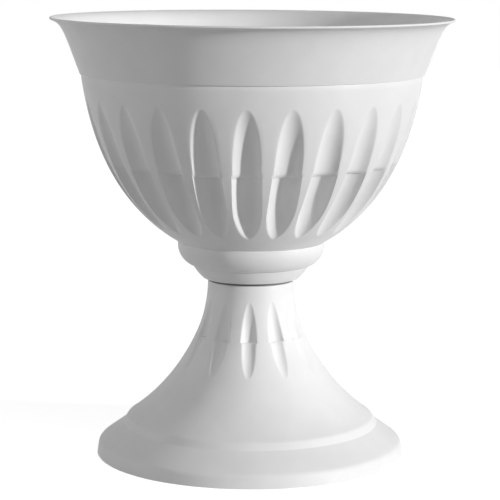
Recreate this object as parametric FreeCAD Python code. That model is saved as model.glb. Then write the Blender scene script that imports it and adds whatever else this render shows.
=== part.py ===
import FreeCAD, Part
import math
import os

# Urn planter: a fluted bowl that lifts off a hollow fluted pedestal, and a plug in the bowl's drain hole.
# Millimetres. Z is up, the floor is z = 0, and both mouldings turn about the Z axis.
# An outline is drawn as (radius, height); an angle in it leans outward from straight up, in degrees.

# overall
pedestal_height = 176.0        # floor to the neck's top face, where the bowl sits
bowl_height = 262.0            # neck's top face to the top of the rim
rim_radius = 200.0
foot_radius = 155.0
neck_radius = 43.3
bowl_wall = 2.5
pedestal_wall = 3.0

# pedestal foot
skirt_height = 12.5
skirt_draft = 2.0              # how far the skirt leans in over its height
shoulder_rounding = 8.0
ledge_width = 24.8             # sloping ledge, from the skirt's top in to the crease
ledge_rise = 18.0
riser_width = 4.2              # short steep riser inside the crease
riser_rise = 7.2
ridge_rounding = 9.0
cone_foot_angle = -55.5
cone_foot_pull = 55.0
cone_neck_pull = 48.0
neck_edge_rounding = 1.2

# pedestal flutes, each a shallow lower scoop under a deeper upper one
pedestal_flute_count = 12
pedestal_flute_gap = 16.0      # neck's top face down to the flute's upper tip
pedestal_upper_length = 39.2
pedestal_lower_length = 32.8
pedestal_upper_depth = 4.3     # at the step
pedestal_upper_mid_depth = 2.1
pedestal_upper_scoop = 10.5    # radius of the scoop across the flute
pedestal_lower_depth = 2.1
pedestal_lower_mid_depth = 1.9
pedestal_lower_scoop = 16.0

# bowl's outline above the neck
seam_gap = 1.2                 # open groove between the neck and the bowl's flange
flange_overhang = 3.4          # bowl's flange beyond the neck
lower_moulding_reach = 11.7
lower_moulding_rise = 14.0
lower_moulding_bulge = 0.9
upper_moulding_reach = 15.0
upper_moulding_rise = 23.2
upper_moulding_bulge = 5.0
cup_foot_reach = 0.7
cup_foot_rise = 1.6
cup_foot_angle = 60.0
cup_foot_pull = 71.5
cup_top_angle = 7.5
cup_top_pull = 63.0
band_height = 55.4             # plain flared band, from its lower edge to the top of the rim
band_reach = 29.3              # rim radius beyond the band's lower edge
band_step = 1.3                # how far the band stands proud of the cup
band_foot_angle = 20.0
band_foot_pull = 46.0
lip_angle = 74.0
lip_pull = 11.5

# bowl flutes, each a shallow upper scoop over a deeper lower one
bowl_flute_count = 24
bowl_flute_top_gap = 22.4      # band's lower edge down to the flute's upper tip
bowl_upper_length = 63.7
bowl_flute_foot_gap = 14.4     # flute's lower tip above the foot of the cup
bowl_upper_depth = 8.5         # at the step
bowl_upper_scoop = 15.5
bowl_lower_depth = 11.8
bowl_lower_scoop = 14.2

# joint between bowl and pedestal
joint_clearance = 0.3
bearing_width = 1.6            # flat ring under the bowl that sits on the neck's top face
spigot_depth = 26.0
spigot_wall = 2.5
key_count = 4
key_width = 5.0
key_length = 14.0
key_top_gap = 4.0              # key's top below the neck's top face
key_reach = 3.8                # how far a key stands in from the neck's bore
key_root = 2.2                 # how far a key is rooted in the neck's wall

# drain plug
drain_radius = 9.0
plug_taper = 0.6
plug_length = 8.5              # below the bowl's floor
plug_flange_radius = 13.0
plug_flange_height = 2.2
plug_grip_width = 13.0
plug_grip_height = 10.0
plug_grip_thickness = 3.2
plug_edge_rounding = 0.8

# worked out from the above
seat_z = pedestal_height
rim_z = seat_z + bowl_height
ridge_radius = foot_radius - skirt_draft - ledge_width - riser_width
ridge_z = skirt_height + ledge_rise + riser_rise
neck_bore = neck_radius - pedestal_wall
spigot_radius = neck_bore - joint_clearance
flange_z = seat_z + seam_gap
floor_z = flange_z + bowl_wall
flange_radius = neck_radius + flange_overhang
lower_moulding_radius = flange_radius + lower_moulding_reach
lower_moulding_z = flange_z + lower_moulding_rise
upper_moulding_radius = lower_moulding_radius + upper_moulding_reach
upper_moulding_z = lower_moulding_z + upper_moulding_rise
cup_foot_radius = upper_moulding_radius + cup_foot_reach
cup_foot_z = upper_moulding_z + cup_foot_rise
band_radius = rim_radius - band_reach
band_z = rim_z - band_height
lip_rounding = bowl_wall / 2

# how the shapes are drawn
face_points = 9                # points that place an inner face
well_skip = 0.1                # share of the lowest moulding's inner face lost under the flat floor
scoop_lead = 0.2               # how far a bent scoop starts before its step, as a share of its length
scoop_overrun = 0.5            # and how far it runs on past its tip
halvings = 60                  # steps when a height is looked up on a curve
touching = 1e-6

up = FreeCAD.Vector(0, 0, 1)
across = FreeCAD.Vector(0, 1, 0)
base = FreeCAD.Vector(0, 0, 0)


def at(radius, height):
    return FreeCAD.Vector(radius, 0, height)


def leaning(angle):
    lean = math.radians(angle)
    return FreeCAD.Vector(math.sin(lean), 0, math.cos(lean))


def inward(direction):
    """The side that faces the axis, for a line drawn upward."""
    return FreeCAD.Vector(-direction.z, 0, direction.x)


def line(start, end):
    return Part.LineSegment(start, end)


def bulging_arc(start, end, bulge):
    """Arc that stands out from its chord by bulge, away from the axis."""
    chord = end - start
    away = inward(chord) * (-1.0 / chord.Length)
    return Part.Arc(start, (start + end) * 0.5 + away * bulge, end)


def swept_curve(start, start_angle, start_pull, end, end_angle, end_pull):
    curve = Part.BezierCurve()
    leaving = start + leaning(start_angle) * start_pull
    arriving = end - leaning(end_angle) * end_pull
    curve.setPoles([start, leaving, arriving, end])
    return curve


def rounded_corner(corner, angle_in, angle_out, rounding):
    """Arc tangent to both lines through a corner."""
    turn = math.radians(angle_out - angle_in)
    reach = rounding * math.tan(abs(turn) / 2)
    start = corner - leaning(angle_in) * reach
    end = corner + leaning(angle_out) * reach
    middle = (leaning(angle_out) - leaning(angle_in)).normalize()
    sagitta = rounding / math.cos(turn / 2) - rounding
    return Part.Arc(start, corner + middle * sagitta, end)


def inner_face(curve, wall, skip=0.0):
    """The curve moved inward by the wall, without its first share."""
    first, last = curve.FirstParameter, curve.LastParameter
    points = []
    for index in range(face_points):
        share = skip + (1 - skip) * index / (face_points - 1)
        place = first + (last - first) * share
        points.append(curve.value(place) + inward(curve.tangent(place)[0]) * wall)
    face = Part.BSplineCurve()
    face.interpolate(points)
    return face


def outline(pieces, close_through):
    """Closed outline from curves in order, with straight lines across their gaps and through the points."""
    edges = [pieces[0].toShape()]
    for piece in pieces[1:]:
        here = edges[-1].lastVertex(True).Point
        begin = piece.value(piece.FirstParameter)
        if (begin - here).Length > touching:
            edges.append(line(here, begin).toShape())
        edges.append(piece.toShape())
    here = edges[-1].lastVertex(True).Point
    for point in close_through + [edges[0].firstVertex(True).Point]:
        edges.append(line(here, point).toShape())
        here = point
    return edges


def sector(edges, count):
    """The share of a turned outline that holds one flute, in its middle."""
    face = Part.Face(Part.Wire(edges))
    face.rotate(base, up, -180.0 / count)
    return face.revolve(base, up, 360.0 / count)


def height_on(curve, height):
    """Point and outward direction where an upward curve passes a height."""
    low, high = curve.FirstParameter, curve.LastParameter
    for _ in range(halvings):
        middle = (low + high) / 2
        if curve.value(middle).z < height:
            low = middle
        else:
            high = middle
    return curve.value(low), inward(curve.tangent(low)[0]) * -1


def slab(z_low, z_high):
    """Everything between two heights, wider than the urn."""
    reach = 2 * (rim_radius + foot_radius)
    corner = FreeCAD.Vector(-reach, -reach, z_low)
    return Part.makeBox(2 * reach, 2 * reach, z_high - z_low, corner)


def straight_scoop(curve, step_z, tip_z, depth, scoop, wall):
    """Round bar that cuts the curve to a depth at the step and leaves it at the tip."""
    step, out = height_on(curve, step_z)
    tip, _ = height_on(curve, tip_z)
    bottom = step - out * depth
    run = (tip - bottom).normalize()
    away = inward(run) * (-1 if run.z > 0 else 1)
    over = scoop + wall
    start = bottom + away * scoop - run * over
    bar = Part.makeCylinder(over, (tip - bottom).Length + 2 * over, start, run)
    if tip_z > step_z:
        return bar.common(slab(step_z, rim_z))
    return bar.common(slab(0, step_z + wall))


def curved_scoop(curve, step_z, tip_z, depths, scoop, wall):
    """Bent round bar that follows a hollow curve: depths at the step and half way, none at the tip."""
    heights = (step_z, (step_z + tip_z) / 2, tip_z)
    points = []
    for height, depth in zip(heights, depths + (0.0,)):
        point, out = height_on(curve, height)
        points.append(point - out * depth)
    centre = Part.Arc(*points).toShape().Curve.Center
    spoke = (points[0] - centre).normalize()
    circle = Part.makeCircle(scoop + wall, points[0] - spoke * scoop, spoke.cross(across))
    axis = across if (points[2] - points[0]).dot(across.cross(spoke)) > 0 else across * -1
    sweep = math.degrees((points[0] - centre).getAngle(points[2] - centre))
    face = Part.Face(Part.Wire(circle))
    face.rotate(centre, axis, -sweep * scoop_lead)
    bar = face.revolve(centre, axis, sweep * (scoop_lead + 1 + scoop_overrun))
    if tip_z > step_z:
        return bar.common(slab(step_z - wall, seat_z))
    return bar.common(slab(0, step_z))


def around(tool, count):
    """Copies of a tool at equal turns, with one at the front."""
    copies = []
    for index in range(count):
        copy = tool.copy()
        copy.rotate(base, up, 360.0 * index / count - 90)
        copies.append(copy)
    return copies


def pedestal_curves():
    skirt_lean = -math.degrees(math.atan2(skirt_draft, skirt_height))
    ledge_lean = -math.degrees(math.atan2(ledge_width, ledge_rise))
    riser_lean = -math.degrees(math.atan2(riser_width, riser_rise))
    skirt_top = at(foot_radius - skirt_draft, skirt_height)
    crease = at(ridge_radius + riser_width, ridge_z - riser_rise)
    shoulder = rounded_corner(skirt_top, skirt_lean, ledge_lean, shoulder_rounding)
    ridge = rounded_corner(at(ridge_radius, ridge_z), riser_lean, cone_foot_angle, ridge_rounding)
    neck_edge = rounded_corner(at(neck_radius, seat_z), 0, -90, neck_edge_rounding)
    cone = swept_curve(ridge.EndPoint, cone_foot_angle, cone_foot_pull,
                       at(neck_radius, seat_z - neck_edge_rounding), 0, cone_neck_pull)
    skirt = line(at(foot_radius, 0), shoulder.StartPoint)
    ledge = line(shoulder.EndPoint, crease)
    riser = line(crease, ridge.StartPoint)
    return skirt, shoulder, ledge, riser, ridge, cone, neck_edge


def fluted_ring(body, hollow, cuts, swells, count):
    """A ring of equal shares: each is its outside less its inside, and both follow the same scoops."""
    for cut in cuts:
        body = body.cut(cut)
    for swell in swells:
        hollow = hollow.cut(swell)
    shares = around(body.cut(hollow), count)
    return shares[0].fuse(shares[1:])


def pedestal_scoops(cone, wall):
    """The two scoops of one flute, grown by a wall where they shape the inside."""
    top_tip = seat_z - pedestal_flute_gap
    step = top_tip - pedestal_upper_length
    foot_tip = step - pedestal_lower_length
    upper_depths = (pedestal_upper_depth, pedestal_upper_mid_depth)
    lower_depths = (pedestal_lower_depth, pedestal_lower_mid_depth)
    upper = curved_scoop(cone, step, top_tip, upper_depths, pedestal_upper_scoop, wall)
    lower = curved_scoop(cone, step, foot_tip, lower_depths, pedestal_lower_scoop, wall)
    return [upper, lower]


def pedestal_shell():
    outer = pedestal_curves()
    cone = outer[5]
    core = neck_bore / 2       # the shares stay clear of the axis, where the neck is open
    body = sector(outline(list(outer), [at(core, seat_z), at(core, 0)]), pedestal_flute_count)
    inner = [inner_face(curve, pedestal_wall) for curve in outer[:6]]
    inner_foot = inner[0].value(inner[0].FirstParameter)
    inside = [at(neck_bore, seat_z), at(core, seat_z), at(core, inner_foot.z)]
    hollow = sector(outline(inner, inside), pedestal_flute_count)
    cuts = pedestal_scoops(cone, 0.0)
    swells = pedestal_scoops(cone, pedestal_wall)
    return fluted_ring(body, hollow, cuts, swells, pedestal_flute_count)


def make_pedestal():
    """The shell, with keys in its neck that stop the bowl from turning."""
    corner = FreeCAD.Vector(neck_bore - key_reach, -key_width / 2, seat_z - key_top_gap - key_length)
    key = Part.makeBox(key_reach + key_root, key_width, key_length, corner)
    return pedestal_shell().fuse(around(key, key_count))


def bowl_curves():
    lower_moulding = bulging_arc(at(flange_radius, flange_z), at(lower_moulding_radius, lower_moulding_z),
                                 lower_moulding_bulge)
    upper_moulding = bulging_arc(at(lower_moulding_radius, lower_moulding_z),
                                 at(upper_moulding_radius, upper_moulding_z), upper_moulding_bulge)
    cup = swept_curve(at(cup_foot_radius, cup_foot_z), cup_foot_angle, cup_foot_pull,
                      at(band_radius - band_step, band_z - band_step), cup_top_angle, cup_top_pull)
    band = swept_curve(at(band_radius, band_z), band_foot_angle, band_foot_pull,
                       lip_point(lip_angle + 90), lip_angle, lip_pull)
    return lower_moulding, upper_moulding, cup, band


def lip_point(angle):
    """Point on the rim's round edge, in the direction that leans outward by the angle."""
    centre = at(rim_radius - lip_rounding, rim_z - lip_rounding)
    return centre + leaning(angle) * lip_rounding


def bowl_scoops(cup, wall):
    """The two scoops of one flute, grown by a wall where they shape the inside."""
    top_tip = band_z - bowl_flute_top_gap
    step = top_tip - bowl_upper_length
    foot_tip = cup_foot_z + bowl_flute_foot_gap
    upper = straight_scoop(cup, step, top_tip, bowl_upper_depth, bowl_upper_scoop, wall)
    lower = straight_scoop(cup, step, foot_tip, bowl_lower_depth, bowl_lower_scoop, wall)
    return [upper, lower]


def bowl_shell():
    outer = bowl_curves()
    cup = outer[2]
    lip_inside = lip_point(lip_angle - 90)
    lip = Part.Arc(outer[-1].value(1), lip_point(lip_angle), lip_inside)
    inside = [at(drain_radius, lip_inside.z), at(drain_radius, flange_z)]
    body = sector(outline(list(outer) + [lip], inside), bowl_flute_count)
    well = inner_face(outer[0], bowl_wall, skip=well_skip)
    inner = [well] + [inner_face(curve, bowl_wall) for curve in outer[1:]]
    top = lip_inside + FreeCAD.Vector(0, 0, bowl_wall)
    well_foot = at(well.value(0).x - bowl_wall, floor_z)
    inside = [top, at(drain_radius, top.z), at(drain_radius, floor_z), well_foot]
    hollow = sector(outline(inner, inside), bowl_flute_count)
    return fluted_ring(body, hollow, bowl_scoops(cup, 0.0), bowl_scoops(cup, bowl_wall), bowl_flute_count)


def bowl_spigot():
    """Slotted ring that enters the neck, and the narrow flat ring that rests on it."""
    foot = at(0, seat_z - spigot_depth)
    height = spigot_depth + seam_gap
    bearing = Part.makeCylinder(neck_bore + bearing_width, seam_gap, at(0, seat_z))
    spigot = Part.makeCylinder(spigot_radius, height, foot)
    bore = Part.makeCylinder(spigot_radius - spigot_wall, height, foot)
    slot_width = key_width + 2 * joint_clearance
    slot_height = spigot_depth - key_top_gap + joint_clearance
    corner = foot - across * (slot_width / 2)
    slot = Part.makeBox(spigot_radius + joint_clearance, slot_width, slot_height, corner)
    return bearing.fuse(spigot).cut(bore).cut(around(slot, key_count))


def make_bowl():
    return bowl_shell().fuse(bowl_spigot())


def plug_grip():
    """Upright tab with a round top."""
    foot = floor_z + plug_flange_height
    arch = plug_grip_width / 2
    side = across * (-plug_grip_thickness / 2)
    height = plug_grip_height - arch
    corner = at(-arch, foot - plug_edge_rounding) + side
    post = Part.makeBox(plug_grip_width, plug_grip_thickness, height + plug_edge_rounding, corner)
    crown = Part.makeCylinder(arch, plug_grip_thickness, at(0, foot + height) + side, across)
    return post.fuse(crown)


def make_plug():
    stem_radius = drain_radius - joint_clearance
    stem_foot = floor_z - bowl_wall - plug_length
    stem = Part.makeCone(stem_radius - plug_taper, stem_radius, floor_z - stem_foot, at(0, stem_foot))
    stem = stem.makeFillet(plug_edge_rounding, [stem.Edges[2]])
    flange = Part.makeCylinder(plug_flange_radius, plug_flange_height, at(0, floor_z))
    flange = flange.makeFillet(plug_edge_rounding, [flange.Edges[0]])
    return stem.fuse([flange, plug_grip()]).removeSplitter()


os.makedirs("parts", exist_ok=True)
pieces = {
    "pedestal": make_pedestal(),
    "bowl": make_bowl(),
    "drain_plug": make_plug(),
}
for name, shape in pieces.items():
    box = shape.BoundBox
    size = [round(length, 1) for length in (box.XLength, box.YLength, box.ZLength)]
    print(name, "valid", shape.isValid(), "solids", len(shape.Solids), "volume", round(shape.Volume))
    print(name, "size", size, "foot", round(box.ZMin, 1))
    shape.exportStep(os.path.join("parts", name + ".step"))
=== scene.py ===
import math

import bmesh
import bpy
from mathutils import Matrix, Vector


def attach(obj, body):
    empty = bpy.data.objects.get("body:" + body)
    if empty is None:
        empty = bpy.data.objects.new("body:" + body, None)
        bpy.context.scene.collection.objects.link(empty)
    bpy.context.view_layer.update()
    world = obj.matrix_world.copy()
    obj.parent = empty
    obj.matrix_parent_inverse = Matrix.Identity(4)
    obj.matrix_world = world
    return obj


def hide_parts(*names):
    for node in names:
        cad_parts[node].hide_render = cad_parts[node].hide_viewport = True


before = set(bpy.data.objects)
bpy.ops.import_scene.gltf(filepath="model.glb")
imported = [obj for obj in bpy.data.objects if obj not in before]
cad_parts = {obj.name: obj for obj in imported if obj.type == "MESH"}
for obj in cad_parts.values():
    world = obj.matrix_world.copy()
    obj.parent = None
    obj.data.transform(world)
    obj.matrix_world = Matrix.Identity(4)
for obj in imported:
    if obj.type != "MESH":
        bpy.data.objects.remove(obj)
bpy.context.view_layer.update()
mm = 0.001
print("frame loaded")


# outlines: a point is (radius, height) in mm, and an angle leans outward from straight up
def lean(angle):
    return Vector((math.sin(math.radians(angle)), math.cos(math.radians(angle))))


def inward(direction):
    return Vector((-direction.y, direction.x))


def sweptPoles(start, startAngle, startPull, end, endAngle, endPull):
    start = Vector(start)
    end = Vector(end)
    return [start, start + lean(startAngle) * startPull, end - lean(endAngle) * endPull, end]


def onCurve(poles, t):
    a, b, c, d = poles
    s = 1 - t
    place = a * s ** 3 + b * (3 * s * s * t) + c * (3 * s * t * t) + d * t ** 3
    along = (b - a) * s * s + (c - b) * (2 * s * t) + (d - c) * t * t
    return place, inward(along.normalized())


def atHeight(poles, height):
    low, high = 0.0, 1.0
    for _ in range(40):
        middle = (low + high) / 2
        if onCurve(poles, middle)[0].y < height:
            low = middle
        else:
            high = middle
    return onCurve(poles, low)


def ladder(low, high, gap):
    steps = max(1, round((high - low) / gap))
    return [low + (high - low) * i / steps for i in range(steps)]


def bulgingArc(start, end, bulge, steps, wall=0.0):
    start = Vector(start)
    end = Vector(end)
    chord = end - start
    radius = (chord.length_squared / 4 + bulge * bulge) / (2 * bulge)
    centre = (start + end) / 2 + inward(chord.normalized()) * (radius - bulge)
    first = math.atan2(start.y - centre.y, start.x - centre.x)
    last = math.atan2(end.y - centre.y, end.x - centre.x)
    angles = [first + (last - first) * i / steps for i in range(steps + 1)]
    return [centre + Vector((math.cos(a), math.sin(a))) * (radius - wall) for a in angles]


def roundedCorner(corner, angleIn, angleOut, rounding, steps, wall=0.0):
    turn = math.radians(angleOut - angleIn)
    reach = rounding * math.tan(abs(turn) / 2)
    side = 1 if turn < 0 else -1
    centre = Vector(corner) - lean(angleIn) * reach + inward(lean(angleIn)) * rounding * side
    angles = [angleIn + (angleOut - angleIn) * i / steps for i in range(steps + 1)]
    return [centre - inward(lean(a)) * (rounding * side - wall) for a in angles]


# scoops: each gives the radius at which a round cutter's near side stands, or None beside it
def straightScoop(poles, stepZ, tipZ, depth, scoop):
    step, facing = atHeight(poles, stepZ)
    tip, _ = atHeight(poles, tipZ)
    bottom = step + facing * depth
    run = (tip - bottom).normalized()
    run = run if run.y > 0 else -run
    axis = bottom - inward(run) * scoop

    def radiusAt(height, angle, start, grow):
        reach = scoop + grow
        middle = axis.x + run.x / run.y * (height - axis.y)
        radius = start
        for _ in range(6):
            aside = radius * math.sin(angle)
            if abs(aside) >= reach:
                return None
            radius = (middle - math.sqrt(reach ** 2 - aside ** 2) / run.y) / math.cos(angle)
        return radius

    return radiusAt


def bentScoop(poles, stepZ, tipZ, depths, scoop):
    a, b, c = [place + facing * depth for (place, facing), depth in zip(
        (atHeight(poles, stepZ), atHeight(poles, (stepZ + tipZ) / 2), atHeight(poles, tipZ)), depths + (0.0,))]
    twice = 2 * ((b - a).x * (c - a).y - (b - a).y * (c - a).x)
    ab = (b - a).length_squared
    ac = (c - a).length_squared
    centre = a + Vector(((c - a).y * ab - (b - a).y * ac, (b - a).x * ac - (c - a).x * ab)) / twice
    ring = (a - centre).length - scoop

    def radiusAt(height, angle, start, grow):
        reach = scoop + grow
        rise = height - centre.y
        radius = start
        for _ in range(6):
            aside = radius * math.sin(angle)
            if abs(aside) >= reach:
                return None
            far = ring + math.sqrt(reach ** 2 - aside ** 2)
            if abs(rise) >= far:
                return None
            radius = (centre.x - math.sqrt(far ** 2 - rise ** 2)) / math.cos(angle)
        return radius

    return radiusAt


def edgeAngle(scoop, height, base, grow, most):
    middle = scoop(height, 0.0, base, grow)
    if middle is None or middle >= base:
        return 0.0
    low, high = 0.0, most
    for _ in range(24):
        angle = (low + high) / 2
        radius = scoop(height, angle, base, grow)
        if radius is not None and radius < base:
            low = angle
        else:
            high = angle
    return low


def softMin(base, cut, soft):
    if cut is None:
        return base
    over = max(soft - abs(base - cut), 0.0) / soft
    return min(base, cut) - over * over * soft / 4


outside, inside, plain = 1, 2, 0


def turnOutline(points, columns):
    bm = bmesh.new()
    side = bm.verts.layers.int.new("side")
    chain = []
    for radius, height, face in points:
        vert = bm.verts.new((radius * mm, 0, height * mm))
        vert[side] = face
        chain.append(vert)
    for one, other in zip(chain, chain[1:] + chain[:1]):
        bm.edges.new((one, other))
    bmesh.ops.spin(bm, geom=bm.verts[:] + bm.edges[:], cent=(0, 0, 0), axis=(0, 0, 1), angle=2 * math.pi,
                   steps=columns, use_merge=True, use_duplicate=False)
    bmesh.ops.recalc_face_normals(bm, faces=bm.faces[:])
    return bm, side


def pressFlutes(bm, side, flutes, upper, lower, ledgeZ, footTip, wall):
    half = math.pi / flutes["count"]
    deepBelow = flutes["lowerDepth"] > flutes["upperDepth"]
    innerStep = ledgeZ + (wall if deepBelow else -wall)
    leastEdge = math.radians(flutes["leastEdge"])
    perHalf = flutes["columns"] // 2
    inFlute = flutes["columnsInFlute"]
    rows = {}

    def pinched(height):
        near = max(0.0, 1 - (height - footTip) / flutes["pinchReach"])
        return 1 + flutes["pinch"] * near ** 1.3

    def rowOf(vert, radius, height):
        key = (vert[side], round(radius, 3), round(height, 3))
        if key in rows:
            return rows[key]
        face = vert[side]
        grow = wall if face == inside else 0.0
        isUpper = height > (innerStep if face == inside else ledgeZ)
        scoop = upper if isUpper else lower
        edge = edgeAngle(scoop, height, radius, grow, half) / pinched(height) if face else 0.0
        middle = scoop(height, 0.0, radius, grow) if face else None
        depth = max(radius - middle, 0.0) if middle is not None else 0.0
        soft = min(max(depth * flutes["softShare"], flutes["leastSoft"]), flutes["soft"])
        column = max(edge, leastEdge)
        rim = min(flutes["rimWidth"] / 2 / radius, column / 2)
        stops = [(column - rim) * i / inFlute for i in range(inFlute + 1)]
        stops += [column - rim / 3, column + rim / 3, column + rim]
        rest = perHalf - len(stops) + 1
        stops += [column + rim + (half - column - rim) * (i + 1) / rest for i in range(rest)]
        fromLedge = height - ledgeZ if deepBelow else ledgeZ - height
        lip = face == outside and 0 < fromLedge < flutes["lipRounding"]
        rows[key] = (scoop if face else None, grow, soft, stops, fromLedge if lip else None)
        return rows[key]

    for vert in bm.verts:
        x, y, z = vert.co
        radius = math.hypot(x, y) / mm
        height = z / mm
        azimuth = math.atan2(y, x)
        sector = round(azimuth / (2 * half)) * 2 * half
        column = round(abs(azimuth - sector) / half * perHalf)
        scoop, grow, soft, stops, fromLedge = rowOf(vert, radius, height)
        angle = stops[min(column, perHalf)]
        cut = radius
        if scoop:
            cut = softMin(radius, scoop(height, angle * pinched(height), radius, grow), soft)
        if fromLedge is not None:
            deep = lower if deepBelow else upper
            floor = softMin(radius, deep(ledgeZ, angle * pinched(ledgeZ), radius, 0.0), soft)
            rounding = flutes["lipRounding"]
            drop = rounding - math.sqrt(rounding ** 2 - (rounding - fromLedge) ** 2)
            cut = max(cut - drop, min(floor, cut))
        turn = sector + math.copysign(angle, azimuth - sector)
        vert.co = (cut * math.cos(turn) * mm, cut * math.sin(turn) * mm, z)


def finishPiece(bm, name, body, material, sharpAngle=40):
    mesh = bpy.data.meshes.new(name)
    bm.to_mesh(mesh)
    bm.free()
    mesh.shade_smooth()
    mesh.set_sharp_from_angle(angle=math.radians(sharpAngle))
    mesh.materials.append(material)
    piece = bpy.data.objects.new(name, mesh)
    bpy.context.scene.collection.objects.link(piece)
    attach(piece, body)
    print("piece", name, len(mesh.vertices), "vertices")
    return piece


# moulded plastic: a faint mottle, a fine matt grain, slow waves from the mould, and painted shade darkening the
# seam
plasticLook = {
    "base": (0.885, 0.885, 0.885), "mottle": (0.86, 0.86, 0.86), "mottleScale": 38,
    # the dark grey seam colour on the next line is painted shade for the gap between bowl and neck
    "seamShadeColour": (0.30, 0.30, 0.295), "roughLow": 0.50, "roughHigh": 0.62, "ior": 1.47,
    "grainScale": 1500, "grainHeight": 0.00002, "waveScale": 22, "waveHeight": 0.00012,
}
# where the seam's painted shade fades in, in mm from the axis and from the floor: (none, full)
seamPaintedShade = {
    "innerRadius": (39.2, 39.6), "outerRadius": (43.5, 42.7),
    "low": (174.9, 175.9), "high": (177.9, 177.7),
}


# mask for the painted shade: where the base colour is darkened in the seam gap under the bowl
def seamShadeMask(nodes, links, place):
    flat = nodes.new("ShaderNodeVectorMath")
    flat.operation = "MULTIPLY"
    flat.inputs[1].default_value = (1, 1, 0)
    links.new(place.outputs["Object"], flat.inputs[0])
    outward = nodes.new("ShaderNodeVectorMath")
    outward.operation = "LENGTH"
    links.new(flat.outputs["Vector"], outward.inputs[0])
    split = nodes.new("ShaderNodeSeparateXYZ")
    links.new(place.outputs["Object"], split.inputs[0])
    result = None
    radius = outward.outputs["Value"]
    height = split.outputs["Z"]
    for source, (none, full) in ((radius, seamPaintedShade["innerRadius"]), (radius, seamPaintedShade["outerRadius"]),
                                 (height, seamPaintedShade["low"]), (height, seamPaintedShade["high"])):
        ramp = nodes.new("ShaderNodeMapRange")
        ramp.inputs["From Min"].default_value = none * mm
        ramp.inputs["From Max"].default_value = full * mm
        links.new(source, ramp.inputs["Value"])
        if result is None:
            result = ramp.outputs["Result"]
            continue
        both = nodes.new("ShaderNodeMath")
        both.operation = "MULTIPLY"
        links.new(result, both.inputs[0])
        links.new(ramp.outputs["Result"], both.inputs[1])
        result = both.outputs[0]
    return result


def mouldedPlastic(name, look):
    material = bpy.data.materials.new(name)
    material.use_nodes = True
    nodes = material.node_tree.nodes
    links = material.node_tree.links
    shader = nodes["Principled BSDF"]
    shader.inputs["IOR"].default_value = look["ior"]
    place = nodes.new("ShaderNodeTexCoord")

    def noise(scale, detail):
        node = nodes.new("ShaderNodeTexNoise")
        node.inputs["Scale"].default_value = scale
        node.inputs["Detail"].default_value = detail
        links.new(place.outputs["Object"], node.inputs["Vector"])
        return node

    mottle = noise(look["mottleScale"], 4)
    colours = nodes.new("ShaderNodeValToRGB")
    colours.color_ramp.elements[0].position = 0.35
    colours.color_ramp.elements[0].color = (*look["mottle"], 1)
    colours.color_ramp.elements[1].position = 0.65
    colours.color_ramp.elements[1].color = (*look["base"], 1)
    links.new(mottle.outputs["Fac"], colours.inputs["Fac"])
    # painted shade: the base colour turns dark grey in the seam between bowl and neck
    paintedShadeMix = nodes.new("ShaderNodeMix")
    paintedShadeMix.data_type = "RGBA"
    paintedShadeMix.inputs["B"].default_value = (*look["seamShadeColour"], 1)
    links.new(seamShadeMask(nodes, links, place), paintedShadeMix.inputs["Factor"])
    links.new(colours.outputs["Color"], paintedShadeMix.inputs["A"])
    links.new(paintedShadeMix.outputs["Result"], shader.inputs["Base Color"])

    rough = nodes.new("ShaderNodeMapRange")
    rough.inputs["From Min"].default_value = 0.3
    rough.inputs["From Max"].default_value = 0.7
    rough.inputs["To Min"].default_value = look["roughLow"]
    rough.inputs["To Max"].default_value = look["roughHigh"]
    links.new(noise(look["mottleScale"] * 3, 3).outputs["Fac"], rough.inputs["Value"])
    links.new(rough.outputs["Result"], shader.inputs["Roughness"])

    grain = nodes.new("ShaderNodeBump")
    grain.inputs["Strength"].default_value = 1.0
    grain.inputs["Distance"].default_value = look["grainHeight"]
    links.new(noise(look["grainScale"], 2).outputs["Fac"], grain.inputs["Height"])
    waves = nodes.new("ShaderNodeBump")
    waves.inputs["Strength"].default_value = 1.0
    waves.inputs["Distance"].default_value = look["waveHeight"]
    links.new(noise(look["waveScale"], 1).outputs["Fac"], waves.inputs["Height"])
    links.new(grain.outputs["Normal"], waves.inputs["Normal"])
    links.new(waves.outputs["Normal"], shader.inputs["Normal"])
    return material


whitePlastic = mouldedPlastic("whitePlastic", plasticLook)
plugLook = {**plasticLook, "base": (0.80, 0.80, 0.79), "mottle": (0.76, 0.76, 0.75)}
plugPlastic = mouldedPlastic("plugPlastic", plugLook)
print("plastics made")

# heights from the floor, sizes in mm
bowl = {
    "seatZ": 176.0, "rimZ": 438.0, "rimRadius": 200.0, "wall": 2.5, "drainRadius": 9.0,
    "floorFlat": 12, "seamGap": 1.2, "flangeRadius": 46.7, "seatRing": 41.4, "seamStep": 0.4, "seamFlare": 1.5,
    "creaseDepth": 0.8, "creaseWidth": 0.8, "bandGroove": 0.3,
    "lowerReach": 11.7, "lowerRise": 14.0, "lowerBulge": 0.9,
    "upperReach": 15.0, "upperRise": 23.2, "upperBulge": 5.0,
    "cupFootReach": 0.7, "cupFootRise": 1.6, "cupFootAngle": 60.0, "cupFootPull": 71.5,
    "cupTopAngle": 7.5, "cupTopPull": 63.0,
    "bandHeight": 55.4, "bandReach": 29.3, "bandStep": 1.3, "bandFootAngle": 20.0, "bandFootPull": 46.0,
    "lipAngle": 74.0, "lipPull": 11.5,
}
bowlFlutes = {
    "count": 24, "topGap": 22.4, "upperLength": 63.7, "footGap": 14.4, "ledgeDrop": 2.6,
    "upperDepth": 8.5, "upperScoop": 14.8, "lowerDepth": 11.8, "lowerScoop": 14.2,
    "columns": 20, "columnsInFlute": 5, "leastEdge": 1.6,
    "rimWidth": 2.6, "soft": 2.4, "softShare": 0.35, "leastSoft": 0.06, "lipRounding": 4.5,
    "pinch": 0.35, "pinchReach": 26,
    "rowGap": 2.3, "tipGap": 0.9, "innerRowGap": 4.0, "innerTipGap": 2.6, "innerLip": 3.2,
}


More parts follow.
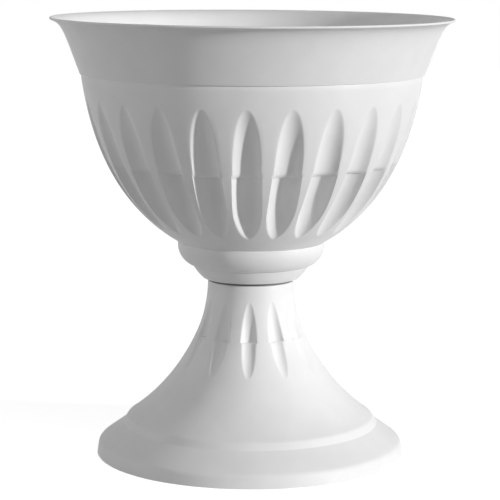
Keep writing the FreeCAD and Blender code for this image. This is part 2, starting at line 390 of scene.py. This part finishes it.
def fluteHeights(low, high, footTip, stepZ, topTip, gap, tipGap, lipAbove, lip):
    heights = ladder(low, footTip - 0.5, gap * 1.8)
    heights += ladder(footTip - 0.5, footTip + 5, tipGap)
    below = lip if not lipAbove else 1.5
    above = lip if lipAbove else 1.5
    heights += ladder(footTip + 5, stepZ - below - 0.5, gap)
    shares = (1.0, 0.7, 0.45, 0.25, 0.1, 0.03)
    heights += [stepZ - below * s for s in (shares if not lipAbove else (1.0, 0.1))]
    heights += [stepZ + above * s for s in (reversed(shares) if lipAbove else (0.1, 1.0))]
    heights += ladder(stepZ + above + 0.5 + gap / 2, topTip - 5, gap)
    heights += ladder(topTip - 5, topTip + 0.6, tipGap)
    heights += ladder(topTip + 0.6, high, gap * 2.2)
    return heights


def makeBowl(b, flutes):
    flangeZ = b["seatZ"] + b["seamGap"]
    floorZ = flangeZ + b["wall"]
    lowerEnd = (b["flangeRadius"] + b["lowerReach"], flangeZ + b["lowerRise"])
    upperEnd = (lowerEnd[0] + b["upperReach"], lowerEnd[1] + b["upperRise"])
    cupFoot = (upperEnd[0] + b["cupFootReach"], upperEnd[1] + b["cupFootRise"])
    bandFoot = (b["rimRadius"] - b["bandReach"], b["rimZ"] - b["bandHeight"])
    cupTop = (bandFoot[0] - b["bandStep"], bandFoot[1] - b["bandStep"])
    lipRadius = b["wall"] / 2
    lipCentre = Vector((b["rimRadius"] - lipRadius, b["rimZ"] - lipRadius))
    cup = sweptPoles(cupFoot, b["cupFootAngle"], b["cupFootPull"], cupTop, b["cupTopAngle"], b["cupTopPull"])
    band = sweptPoles(bandFoot, b["bandFootAngle"], b["bandFootPull"],
                      lipCentre + lean(b["lipAngle"] + 90) * lipRadius, b["lipAngle"], b["lipPull"])
    topTip = bandFoot[1] - flutes["topGap"]
    stepZ = topTip - flutes["upperLength"]
    footTip = cupFoot[1] + flutes["footGap"]
    upper = straightScoop(cup, stepZ, topTip, flutes["upperDepth"], flutes["upperScoop"])
    lower = straightScoop(cup, stepZ, footTip, flutes["lowerDepth"], flutes["lowerScoop"])
    wall = b["wall"]
    ledgeZ = stepZ - flutes["ledgeDrop"]
    heights = fluteHeights(cupFoot[1] + 1.2, cupTop[1], footTip, ledgeZ, topTip, flutes["rowGap"],
                           flutes["tipGap"], True, flutes["lipRounding"])

    seamOut = b["seatRing"] + b["seamStep"]
    floorRing = b["drainRadius"] + b["floorFlat"]
    points = [(b["drainRadius"], flangeZ, plain), (floorRing, flangeZ, plain),
              (b["seatRing"], flangeZ, plain), (seamOut, flangeZ + b["seamFlare"], plain),
              (b["flangeRadius"] - 0.5, flangeZ + b["seamFlare"], plain)]
    lowerArc = bulgingArc((b["flangeRadius"], flangeZ), lowerEnd, b["lowerBulge"], 7)
    lowerArc[0] = lowerArc[0] + (lowerArc[1] - lowerArc[0]).normalized() * (b["seamFlare"] + 0.6)
    points += [(*p, plain) for p in lowerArc[:-1]]
    points += [(*(lowerArc[-1] + (lowerArc[-2] - lowerArc[-1]).normalized() * b["creaseWidth"] / 2), plain),
               (lowerEnd[0] - b["creaseDepth"] * 0.7, lowerEnd[1] + b["creaseDepth"] * 0.3, plain)]
    upperArc = bulgingArc(lowerEnd, upperEnd, b["upperBulge"], 14)
    points += [(*(upperArc[0] + (upperArc[1] - upperArc[0]).normalized() * b["creaseWidth"] / 2), plain)]
    points += [(*p, plain) for p in upperArc[1:]]
    # groove under the cup
    points += [(upperEnd[0] - b["creaseDepth"], upperEnd[1] + b["creaseWidth"] / 2, plain)]
    points += [(*cup[0], plain)]
    points += [(*atHeight(cup, h)[0], outside) for h in heights]
    points += [(cup[3].x, cup[3].y + 0.2, outside)]
    points += [(cup[3].x - b["bandGroove"], band[0].y - 0.25, plain)]  # groove under the band
    points += [(*onCurve(band, i / 14)[0], plain) for i in range(15)]
    points += [(*(lipCentre + lean(b["lipAngle"] + 90 - 180 * i / 6) * lipRadius), plain)
               for i in range(1, 7)]
    bandInner = [onCurve(band, i / 10) for i in range(10, -1, -1)]
    points += [(*(place + facing * wall), plain) for place, facing in bandInner[1:]]
    innerHeights = fluteHeights(cupFoot[1] + 2, cupTop[1] - 1, footTip, ledgeZ, topTip, flutes["innerRowGap"],
                                flutes["innerTipGap"], True, flutes["innerLip"])
    for h in reversed(innerHeights):
        place, facing = atHeight(cup, h)
        points += [(*(place + facing * wall), inside)]
    points += [(*p, plain) for p in reversed(bulgingArc(lowerEnd, upperEnd, b["upperBulge"], 8, wall))]
    lowerInner = bulgingArc((b["flangeRadius"], flangeZ), lowerEnd, b["lowerBulge"], 5, wall)
    points += [(*p, plain) for p in reversed(lowerInner) if p.y > floorZ + 0.8]
    points += [(lowerInner[0].x - wall, floorZ, plain), (floorRing, floorZ, plain)]
    points += [(b["drainRadius"] + 0.6, floorZ, plain), (b["drainRadius"], floorZ - 0.5, plain)]
    bm, side = turnOutline(points, flutes["count"] * flutes["columns"])
    print("bowl rows", len(points))
    pressFlutes(bm, side, flutes, upper, lower, ledgeZ, footTip, wall)
    return bm


bowlPiece = finishPiece(makeBowl(bowl, bowlFlutes), "bowlShell", "bowl_body", whitePlastic)
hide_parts("bowl")

pedestal = {
    "seatZ": 176.0, "wall": 3.0, "footRadius": 155.0, "neckRadius": 43.3,
    "skirtHeight": 12.5, "skirtDraft": 2.0, "shoulderRounding": 8.0, "ledgeWidth": 24.8, "ledgeRise": 18.0,
    "riserWidth": 4.2, "riserRise": 7.2, "ridgeRounding": 9.0, "creaseRounding": 1.5, "boreEdge": 0.4,
    "coneFootAngle": -55.5, "coneFootPull": 55.0, "coneNeckPull": 48.0, "neckEdge": 1.6,
}
pedestalFlutes = {
    "count": 12, "topGap": 16.0, "upperLength": 39.2, "lowerLength": 32.8, "ledgeDrop": 0.0,
    "upperDepth": 5.3, "upperMid": 2.7, "upperScoop": 9.3,
    "lowerDepth": 2.8, "lowerMid": 2.3, "lowerScoop": 10.4,
    "columns": 24, "columnsInFlute": 5, "leastEdge": 2.6,
    "rimWidth": 1.6, "soft": 1.2, "softShare": 0.3, "leastSoft": 0.06, "lipRounding": 1.2,
    "pinch": 0.0, "pinchReach": 10,
    "rowGap": 1.7, "tipGap": 0.8, "innerRowGap": 3.0, "innerTipGap": 2.2, "innerLip": 3.0,
}


def makePedestal(p, flutes):
    skirtLean = -math.degrees(math.atan2(p["skirtDraft"], p["skirtHeight"]))
    ledgeLean = -math.degrees(math.atan2(p["ledgeWidth"], p["ledgeRise"]))
    riserLean = -math.degrees(math.atan2(p["riserWidth"], p["riserRise"]))
    skirtTop = (p["footRadius"] - p["skirtDraft"], p["skirtHeight"])
    ridgeTop = Vector((skirtTop[0] - p["ledgeWidth"] - p["riserWidth"],
                       skirtTop[1] + p["ledgeRise"] + p["riserRise"]))
    crease = ridgeTop + Vector((p["riserWidth"], -p["riserRise"]))
    shoulder = roundedCorner(skirtTop, skirtLean, ledgeLean, p["shoulderRounding"], 6)
    ridge = roundedCorner(ridgeTop, riserLean, p["coneFootAngle"], p["ridgeRounding"], 6)
    neckFoot = (p["neckRadius"], p["seatZ"] - p["neckEdge"])
    cone = sweptPoles(ridge[-1], p["coneFootAngle"], p["coneFootPull"], neckFoot, 0, p["coneNeckPull"])
    neckEdge = roundedCorner((p["neckRadius"], p["seatZ"]), 0, -90, p["neckEdge"], 4)
    topTip = p["seatZ"] - flutes["topGap"]
    stepZ = topTip - flutes["upperLength"]
    footTip = stepZ - flutes["lowerLength"]
    upper = bentScoop(cone, stepZ, topTip, (flutes["upperDepth"], flutes["upperMid"]), flutes["upperScoop"])
    lower = bentScoop(cone, stepZ, footTip, (flutes["lowerDepth"], flutes["lowerMid"]), flutes["lowerScoop"])
    wall = p["wall"]
    ledgeZ = stepZ - flutes["ledgeDrop"]
    heights = fluteHeights(ridge[-1].y + 1.5, neckFoot[1] - 1, footTip, ledgeZ, topTip, flutes["rowGap"],
                           flutes["tipGap"], False, flutes["lipRounding"])

    foot = Vector((p["footRadius"], 0))
    points = [(*(foot.lerp(shoulder[0], i / 3)), plain) for i in range(3)]
    points += [(*q, plain) for q in shoulder]
    points += [(*(shoulder[-1].lerp(crease, i / 5)), plain) for i in range(1, 5)]
    softCrease = roundedCorner(crease, ledgeLean, riserLean, p["creaseRounding"], 3)
    points += [(*q, plain) for q in softCrease]
    points += [(*q, plain) for q in ridge]
    points += [(*atHeight(cone, h)[0], outside) for h in heights]
    points += [(*cone[3], plain)]
    points += [(*q, plain) for q in neckEdge[1:]]
    bore = p["neckRadius"] - wall
    points += [(bore + p["boreEdge"], p["seatZ"], plain), (bore, p["seatZ"] - p["boreEdge"], plain)]
    innerHeights = fluteHeights(ridge[-1].y + 3, neckFoot[1] - 2, footTip, ledgeZ, topTip,
                                flutes["innerRowGap"], flutes["innerTipGap"], False, flutes["innerLip"])
    for h in reversed(innerHeights):
        place, facing = atHeight(cone, h)
        points += [(*(place + facing * wall), inside)]
    ridgeInner = roundedCorner(ridgeTop, riserLean, p["coneFootAngle"], p["ridgeRounding"], 5, wall)
    points += [(*q, plain) for q in reversed(ridgeInner)]
    creaseInner = roundedCorner(crease, ledgeLean, riserLean, p["creaseRounding"], 3, wall)
    points += [(*q, plain) for q in reversed(creaseInner)]
    shoulderInner = roundedCorner(skirtTop, skirtLean, ledgeLean, p["shoulderRounding"], 5, wall)
    points += [(*(creaseInner[0].lerp(shoulderInner[-1], i / 4)), plain) for i in range(1, 4)]
    points += [(*q, plain) for q in reversed(shoulderInner)]
    footInner = Vector((p["footRadius"] - wall / math.cos(math.radians(skirtLean)), 0))
    points += [(*(shoulderInner[0].lerp(footInner, i / 2)), plain) for i in range(1, 3)]
    bm, side = turnOutline(points, flutes["count"] * flutes["columns"])
    print("pedestal rows", len(points))
    pressFlutes(bm, side, flutes, upper, lower, ledgeZ, footTip, wall)
    return bm


pedestalPiece = finishPiece(makePedestal(pedestal, pedestalFlutes), "pedestalShell", "pedestal_body",
                            whitePlastic)
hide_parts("pedestal")

joint = {
    "spigotRadius": 40.0, "spigotWall": 2.5, "spigotFoot": 150.0, "columns": 96, "softEdge": 0.4,
    "bearingRadius": 41.0, "slots": 4, "slotWidth": 5.6, "slotTop": 172.3,
    "keyWidth": 5.0, "keyIn": 36.5, "keyOut": 42.4, "keyFoot": 158.0, "keyTop": 172.0, "keyEdge": 0.5,
}


def bevelSharp(bm, width, segments, fromAngle=40):
    bmesh.ops.recalc_face_normals(bm, faces=bm.faces[:])
    sharp = [e for e in bm.edges if e.is_manifold and e.calc_face_angle() > math.radians(fromAngle)]
    bmesh.ops.bevel(bm, geom=sharp, offset=width * mm, offset_type="OFFSET", segments=segments, profile=0.5,
                    affect="EDGES", material=-1, clamp_overlap=True)


def makeSpigot(j, seatZ, flangeZ):
    inner = j["spigotRadius"] - j["spigotWall"]
    points = [(inner, j["spigotFoot"], plain), (j["spigotRadius"], j["spigotFoot"], plain),
              (j["spigotRadius"], j["slotTop"], plain), (j["spigotRadius"], seatZ, plain),
              (j["bearingRadius"], seatZ, plain), (j["bearingRadius"], flangeZ, plain),
              (inner, flangeZ, plain), (inner, j["slotTop"], plain)]
    bm, _ = turnOutline(points, j["columns"])
    halfSlot = math.asin(j["slotWidth"] / 2 / j["spigotRadius"])
    column = 2 * math.pi / j["columns"]
    quarter = 2 * math.pi / j["slots"]
    # the columns beside each slot's middle become its sides
    for vert in bm.verts:
        azimuth = math.atan2(vert.co.y, vert.co.x)
        middle = round(azimuth / quarter) * quarter
        away = azimuth - middle
        if abs(abs(away) - column) < column / 4:
            vert.co.rotate(Matrix.Rotation(math.copysign(halfSlot, away) - away, 3, "Z"))
    inSlot = []
    for face in bm.faces:
        middle = face.calc_center_median()
        azimuth = math.atan2(middle.y, middle.x)
        if abs(azimuth - round(azimuth / quarter) * quarter) < halfSlot and middle.z / mm < j["slotTop"] - 0.1:
            inSlot.append(face)
    bmesh.ops.delete(bm, geom=inSlot, context="FACES")
    spare = [v for v in bm.verts if not v.link_faces]
    bmesh.ops.delete(bm, geom=spare, context="VERTS")

    def near(azimuth, topOnly):
        heading = Vector((math.cos(azimuth), math.sin(azimuth)))
        found = [v for v in bm.verts if (heading - v.co.xy.normalized()).length < 0.001]
        if topOnly:
            return [v for v in found if abs(v.co.z / mm - j["slotTop"]) < 0.1]
        return [v for v in found if v.co.z / mm < j["slotTop"] + 0.1]

    for turn in range(j["slots"]):
        left = turn * quarter - halfSlot
        right = turn * quarter + halfSlot
        bmesh.ops.contextual_create(bm, geom=near(left, False))
        bmesh.ops.contextual_create(bm, geom=near(right, False))
        roof = near(left, True), near(turn * quarter, True), near(right, True)
        bmesh.ops.contextual_create(bm, geom=roof[0] + roof[1])
        bmesh.ops.contextual_create(bm, geom=roof[1] + roof[2])
    bevelSharp(bm, j["softEdge"], 2)
    return bm


def makeKeys(j):
    bm = bmesh.new()
    for turn in range(j["slots"]):
        made = bmesh.ops.create_cube(bm, size=1.0)["verts"]
        size = Vector((j["keyOut"] - j["keyIn"], j["keyWidth"], j["keyTop"] - j["keyFoot"])) * mm
        middle = Vector((j["keyOut"] + j["keyIn"], 0, j["keyTop"] + j["keyFoot"])) * mm / 2
        bmesh.ops.scale(bm, vec=size, verts=made)
        bmesh.ops.translate(bm, vec=middle, verts=made)
        bmesh.ops.rotate(bm, cent=(0, 0, 0), matrix=Matrix.Rotation(turn * math.pi / 2, 3, "Z"), verts=made)
    bevelSharp(bm, j["keyEdge"], 3)
    return bm


flangeFoot = bowl["seatZ"] + bowl["seamGap"]
finishPiece(makeSpigot(joint, bowl["seatZ"], flangeFoot), "spigot", "bowl_body", whitePlastic)
finishPiece(makeKeys(joint), "neckKeys", "pedestal_body", whitePlastic)

plug = {
    "foot": 168.7, "footRadius": 8.1, "seat": 179.7, "seatRadius": 8.7,
    "flangeRadius": 13.0, "flangeTop": 181.9, "dishRadius": 10.6, "dish": 0.35, "edge": 0.8, "columns": 96,
    "gripWidth": 13.0, "gripThick": 3.2, "gripTop": 191.9, "gripEdge": 0.8, "sink": 0.7,
}


def makePlug(p):
    edge = p["edge"]
    points = [(0, p["foot"] + 0.4, plain), (p["footRadius"] - edge - 1.6, p["foot"] + 0.4, plain),
              (p["footRadius"] - edge - 1.0, p["foot"], plain)]
    points += [(*q, plain) for q in roundedCorner((p["footRadius"], p["foot"]), 90, 3, edge, 5)]
    points += [(p["seatRadius"], p["seat"], plain), (p["flangeRadius"] - 0.3, p["seat"], plain),
               (p["flangeRadius"], p["seat"] + 0.3, plain)]
    points += [(*q, plain) for q in roundedCorner((p["flangeRadius"], p["flangeTop"]), 0, -90, edge, 5)]
    points += [(p["dishRadius"] + 0.6, p["flangeTop"], plain),
               (p["dishRadius"], p["flangeTop"] - p["dish"], plain), (0, p["flangeTop"] - p["dish"], plain)]
    bm = bmesh.new()
    chain = [bm.verts.new((r * mm, 0, z * mm)) for r, z, _ in points]
    for one, other in zip(chain, chain[1:]):
        bm.edges.new((one, other))
    bmesh.ops.spin(bm, geom=bm.verts[:] + bm.edges[:], cent=(0, 0, 0), axis=(0, 0, 1), angle=2 * math.pi,
                   steps=p["columns"], use_merge=True, use_duplicate=False)
    bmesh.ops.remove_doubles(bm, verts=bm.verts[:], dist=0.00001)
    arch = p["gripWidth"] / 2
    foot = bm.verts.new((arch * mm, -p["gripThick"] / 2 * mm, (p["flangeTop"] - p["sink"]) * mm))
    shoulder = bm.verts.new((arch * mm, -p["gripThick"] / 2 * mm, (p["gripTop"] - arch) * mm))
    bm.edges.new((foot, shoulder))
    turned = bmesh.ops.spin(bm, geom=[shoulder], cent=(0, -p["gripThick"] / 2 * mm, (p["gripTop"] - arch) * mm),
                            axis=(0, -1, 0), angle=math.pi, steps=20, use_merge=False, use_duplicate=False)
    last = [v for v in turned["geom_last"] if isinstance(v, bmesh.types.BMVert)][0]
    otherFoot = bm.verts.new((-arch * mm, -p["gripThick"] / 2 * mm, (p["flangeTop"] - p["sink"]) * mm))
    bm.edges.new((last, otherFoot))
    bm.edges.new((otherFoot, foot))
    rim = [e for e in bm.edges if e.is_wire]
    front = bmesh.ops.contextual_create(bm, geom=rim)["faces"]
    raised = bmesh.ops.extrude_face_region(bm, geom=front)["geom"]
    bmesh.ops.translate(bm, vec=(0, p["gripThick"] * mm, 0),
                        verts=[g for g in raised if isinstance(g, bmesh.types.BMVert)])
    tab = [e for e in bm.edges if e.is_manifold and e.calc_face_angle() > math.radians(60)
           and min(v.co.z for v in e.verts) > (p["flangeTop"] - p["sink"] - 0.01) * mm
           and max(abs(v.co.x) for v in e.verts) < (arch + 0.01) * mm
           and all(abs(abs(v.co.y) - p["gripThick"] / 2 * mm) < 0.00001 for v in e.verts)]
    bmesh.ops.recalc_face_normals(bm, faces=bm.faces[:])
    bmesh.ops.bevel(bm, geom=tab, offset=p["gripEdge"] * mm, offset_type="OFFSET", segments=4, profile=0.5,
                    affect="EDGES", material=-1, clamp_overlap=True)
    return bm


plugPiece = finishPiece(makePlug(plug), "drainPlug", "plug_body", plugPlastic)
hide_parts("drain_plug")

# studio: photo camera, a low key lamp at the right, weak broad ones at the left, behind at the left and in
# front, and a white surround
studio = {
    "distance": 2.0476, "height": 0.521, "azimuth": 1.7, "aimHeight": 0.2054, "aimAside": -0.0011,
    "roll": 0.0061, "lens": 148.5, "sensorWidth": 36,
    "keyAzimuth": 66, "keyHeight": 12, "keyStrength": 2.5, "keySize": 3.5,
    "backAzimuth": -110, "backHeight": 14, "backStrength": 0.28, "backSize": 40,
    "sideAzimuth": -74, "sideHeight": 3, "sideStrength": 0.66, "sideSize": 40,
    "frontAzimuth": 30, "frontHeight": 45, "frontStrength": 0.56, "frontSize": 60, "fill": 0.06,
    "floorGrey": 0.62, "floorGlow": 0.86, "floorRough": 0.9, "floorHalf": 6,
}


def fromAzimuth(azimuth, height):
    a = math.radians(azimuth)
    h = math.radians(height)
    return Vector((math.sin(a) * math.cos(h), -math.cos(a) * math.cos(h), math.sin(h)))


def addSun(name, azimuth, height, strength, size):
    lamp = bpy.data.lights.new(name, "SUN")
    lamp.energy = strength
    lamp.angle = math.radians(size)
    holder = bpy.data.objects.new(name, lamp)
    holder.rotation_euler = fromAzimuth(azimuth, height).to_track_quat("Z", "Y").to_euler()
    holder.location = fromAzimuth(azimuth, height) * 3
    bpy.context.scene.collection.objects.link(holder)


addSun("keyLamp", studio["keyAzimuth"], studio["keyHeight"], studio["keyStrength"], studio["keySize"])
addSun("backLamp", studio["backAzimuth"], studio["backHeight"], studio["backStrength"], studio["backSize"])
addSun("sideLamp", studio["sideAzimuth"], studio["sideHeight"], studio["sideStrength"], studio["sideSize"])
addSun("frontLamp", studio["frontAzimuth"], studio["frontHeight"], studio["frontStrength"], studio["frontSize"])


def seenDirectly(nodes, links):
    path = nodes.new("ShaderNodeLightPath")
    first = nodes.new("ShaderNodeMath")
    first.operation = "MAXIMUM"
    links.new(path.outputs["Is Camera Ray"], first.inputs[0])
    links.new(path.outputs["Is Glossy Ray"], first.inputs[1])
    second = nodes.new("ShaderNodeMath")
    second.operation = "MAXIMUM"
    links.new(first.outputs[0], second.inputs[0])
    links.new(path.outputs["Is Transmission Ray"], second.inputs[1])
    return second.outputs[0]


world = bpy.data.worlds.new("whiteStudio")
bpy.context.scene.world = world
world.use_nodes = True
nodes = world.node_tree.nodes
links = world.node_tree.links
fillLight = nodes["Background"]
fillLight.inputs["Color"].default_value = (1, 1, 1, 1)
fillLight.inputs["Strength"].default_value = studio["fill"]
whiteBack = nodes.new("ShaderNodeBackground")
whiteBack.inputs["Color"].default_value = (1, 1, 1, 1)
whiteBack.inputs["Strength"].default_value = 1.0
choose = nodes.new("ShaderNodeMixShader")
links.new(seenDirectly(nodes, links), choose.inputs["Fac"])
links.new(fillLight.outputs[0], choose.inputs[1])
links.new(whiteBack.outputs[0], choose.inputs[2])
links.new(choose.outputs[0], nodes["World Output"].inputs["Surface"])

bm = bmesh.new()
bmesh.ops.create_grid(bm, x_segments=1, y_segments=1, size=studio["floorHalf"])
floorMesh = bpy.data.meshes.new("floor")
bm.to_mesh(floorMesh)
bm.free()
floor = bpy.data.objects.new("floor", floorMesh)
bpy.context.scene.collection.objects.link(floor)
floorPaint = bpy.data.materials.new("paleFloor")
floorPaint.use_nodes = True
nodes = floorPaint.node_tree.nodes
links = floorPaint.node_tree.links
paint = nodes["Principled BSDF"]
grey = studio["floorGrey"]
paint.inputs["Base Color"].default_value = (grey, grey, grey, 1)
paint.inputs["Roughness"].default_value = studio["floorRough"]
paint.inputs["Specular IOR Level"].default_value = 0.0
glow = nodes.new("ShaderNodeEmission")
glow.inputs["Strength"].default_value = studio["floorGlow"]
lit = nodes.new("ShaderNodeAddShader")
links.new(paint.outputs[0], lit.inputs[0])
links.new(glow.outputs[0], lit.inputs[1])
pick = nodes.new("ShaderNodeMixShader")
links.new(seenDirectly(nodes, links), pick.inputs["Fac"])
links.new(paint.outputs[0], pick.inputs[1])
links.new(lit.outputs[0], pick.inputs[2])
links.new(pick.outputs[0], nodes["Material Output"].inputs["Surface"])
floorMesh.materials.append(floorPaint)

eye = fromAzimuth(studio["azimuth"], 0) * studio["distance"]
eye.z = studio["height"]
sideways = math.radians(studio["azimuth"])
rightwards = Vector((math.cos(sideways), math.sin(sideways), 0))
aim = rightwards * studio["aimAside"] + Vector((0, 0, studio["aimHeight"]))
lensData = bpy.data.cameras.new("photoCamera")
lensData.lens = studio["lens"]
lensData.sensor_width = studio["sensorWidth"]
camera = bpy.data.objects.new("photoCamera", lensData)
turn = (eye - aim).to_track_quat("Z", "Y").to_matrix().to_4x4()
camera.matrix_world = Matrix.Translation(eye) @ turn @ Matrix.Rotation(studio["roll"], 4, "Z")
bpy.context.scene.collection.objects.link(camera)
bpy.context.scene.camera = camera
bpy.context.scene.view_settings.view_transform = "Standard"
print("studio set")
